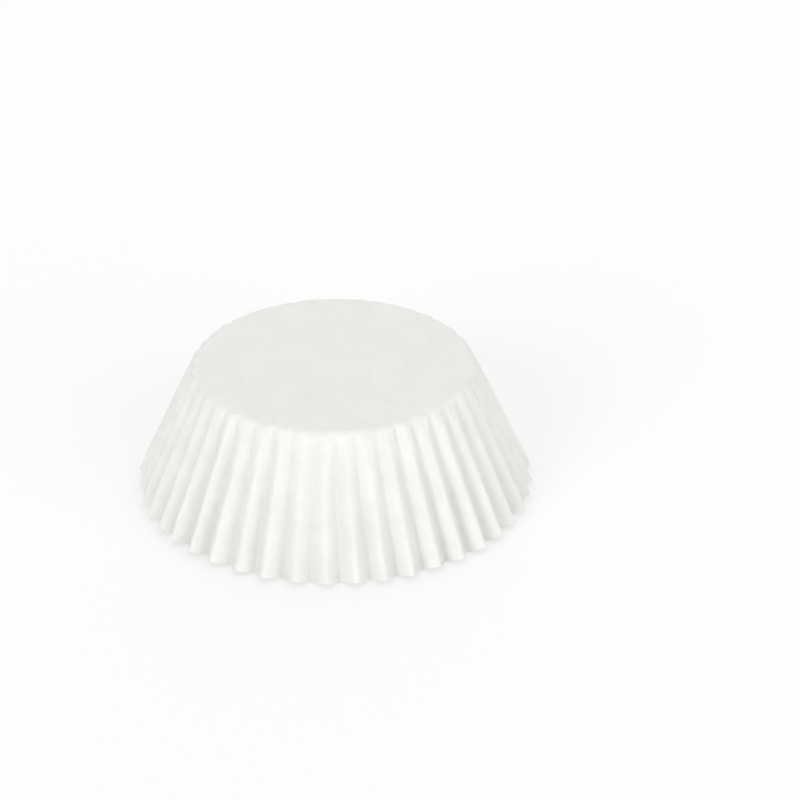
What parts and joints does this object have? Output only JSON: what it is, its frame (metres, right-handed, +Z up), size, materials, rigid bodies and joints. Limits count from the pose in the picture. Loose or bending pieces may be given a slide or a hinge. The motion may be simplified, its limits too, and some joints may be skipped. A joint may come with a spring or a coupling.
{
  "type": "cupcake liner",
  "caption": "Round paper baking cup with a flat base and a fluted, flared wall that ends in a scalloped mouth, standing on its mouth.",
  "frame": {"origin": "centre of the plane that the cup stands on, at the middle of its mouth", "axes": "+Z up along the cup's axis, from the mouth to the base, which is on top; +X through the crest of a flute"},
  "size_m": [0.0724, 0.0724, 0.0245],
  "materials": {
    "paper": "matt white greaseproof paper with a faint calendered sheen"
  },
  "bodies": {
    "root": {"liner": "paper"}
  },
  "joints": []
}
